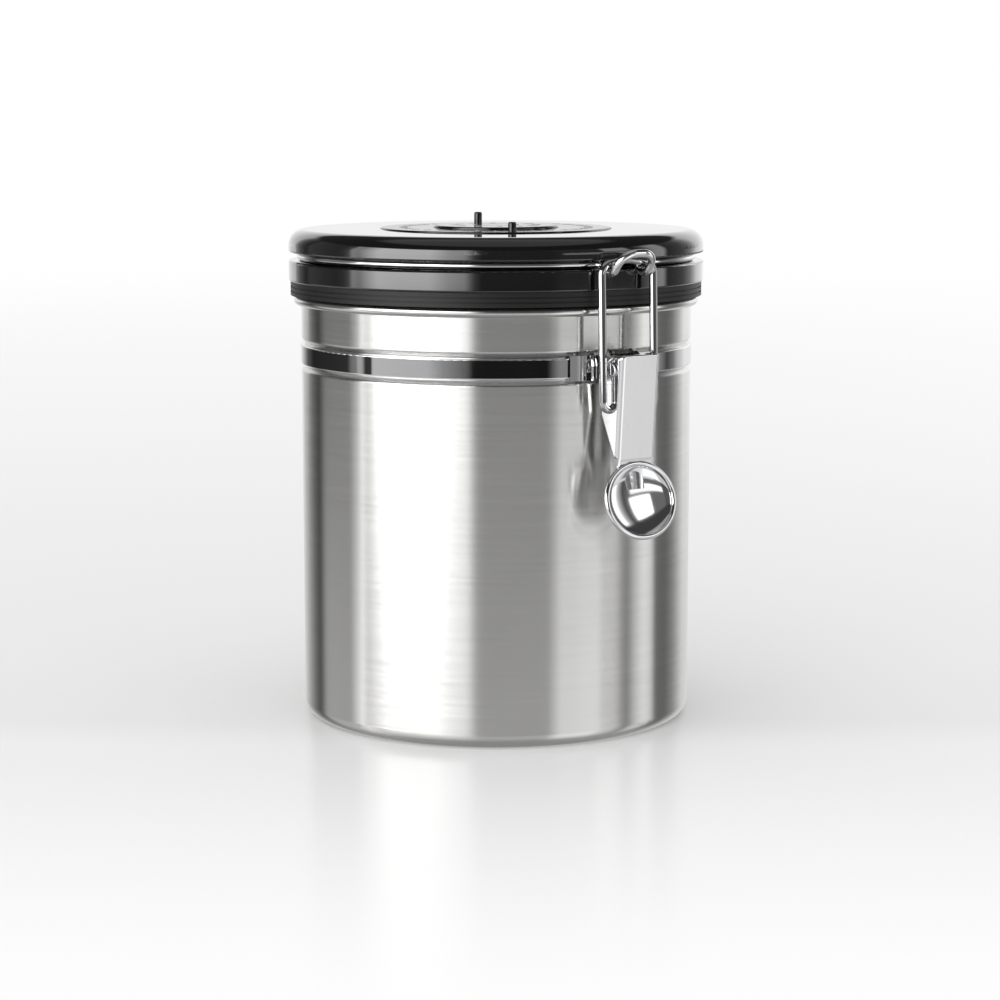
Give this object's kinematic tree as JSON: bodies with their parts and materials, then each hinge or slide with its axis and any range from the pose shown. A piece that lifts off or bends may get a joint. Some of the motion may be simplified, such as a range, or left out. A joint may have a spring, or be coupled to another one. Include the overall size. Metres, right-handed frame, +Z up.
{
  "type": "coffee canister",
  "caption": "Round steel canister with a clamped black lid, wire toggle latch, rear hinge, date dials and a one-way valve.",
  "frame": {"origin": "centre of the can's foot, on the surface it stands on", "axes": "+Z up along the can's axis, -Y towards the latch, +Y towards the hinge"},
  "size_m": [0.119, 0.1374, 0.1443],
  "materials": {
    "can_steel": "satin, brushed round the axis",
    "band_steel": "polished",
    "wire_steel": "polished wire",
    "lever_steel": "polished",
    "lid_black": "gloss",
    "dial_black": "gloss, with plain numbers",
    "seal_grey": "matt silicone",
    "valve_plastic": "matt",
    "valve_silicone": "soft silicone",
    "filter_felt": "felt",
    "screw_steel": "plain"
  },
  "bodies": {
    "canister": {"can_body": "can_steel", "neck_band": "band_steel", "latch_bracket": "band_steel", "hinge_bracket": "band_steel", "lever_pin": "wire_steel"},
    "lid": {"lid_cover": "lid_black", "lid_base": "lid_black", "lid_gasket": "seal_grey", "lid_screws": "screw_steel", "bail_ring": "wire_steel", "dial_cap": "dial_black", "valve_housing": "valve_plastic", "valve_umbrella": "valve_silicone", "valve_seal": "valve_silicone", "valve_filter": "filter_felt", "valve_cover": "valve_plastic"},
    "lever": {"latch_lever": "lever_steel"},
    "link": {"latch_link": "wire_steel"},
    "outer_dial": {"date_dial": "dial_black"},
    "inner_dial": {"month_dial": "dial_black"}
  },
  "joints": [
    {"name": "lid_hinge", "type": "hinge", "parent": "canister", "child": "lid", "pos_m": [0, 0.0613, 0.1084], "axis": [-1, 0, 0], "range_deg": [0, 110]},
    {"name": "lever_pivot", "type": "hinge", "parent": "canister", "child": "lever", "pos_m": [0, -0.064, 0.1048], "axis": [-1, 0, 0], "range_deg": [0, 82]},
    {"name": "link_pivot", "type": "hinge", "parent": "lever", "child": "link", "pos_m": [0, -0.0627, 0.0939], "axis": [-1, 0, 0], "range_deg": [-63, 0]},
    {"name": "date_dial_turn", "type": "hinge", "parent": "lid", "child": "outer_dial", "pos_m": [0, 0, 0.1389], "axis": [0, 0, 1], "continuous": true},
    {"name": "month_dial_turn", "type": "hinge", "parent": "lid", "child": "inner_dial", "pos_m": [0, 0, 0.1389], "axis": [0, 0, 1], "continuous": true}
  ],
  "couplings": [
    {"joint": "link_pivot", "follows": "lever_pivot", "ratio": -0.755}
  ]
}
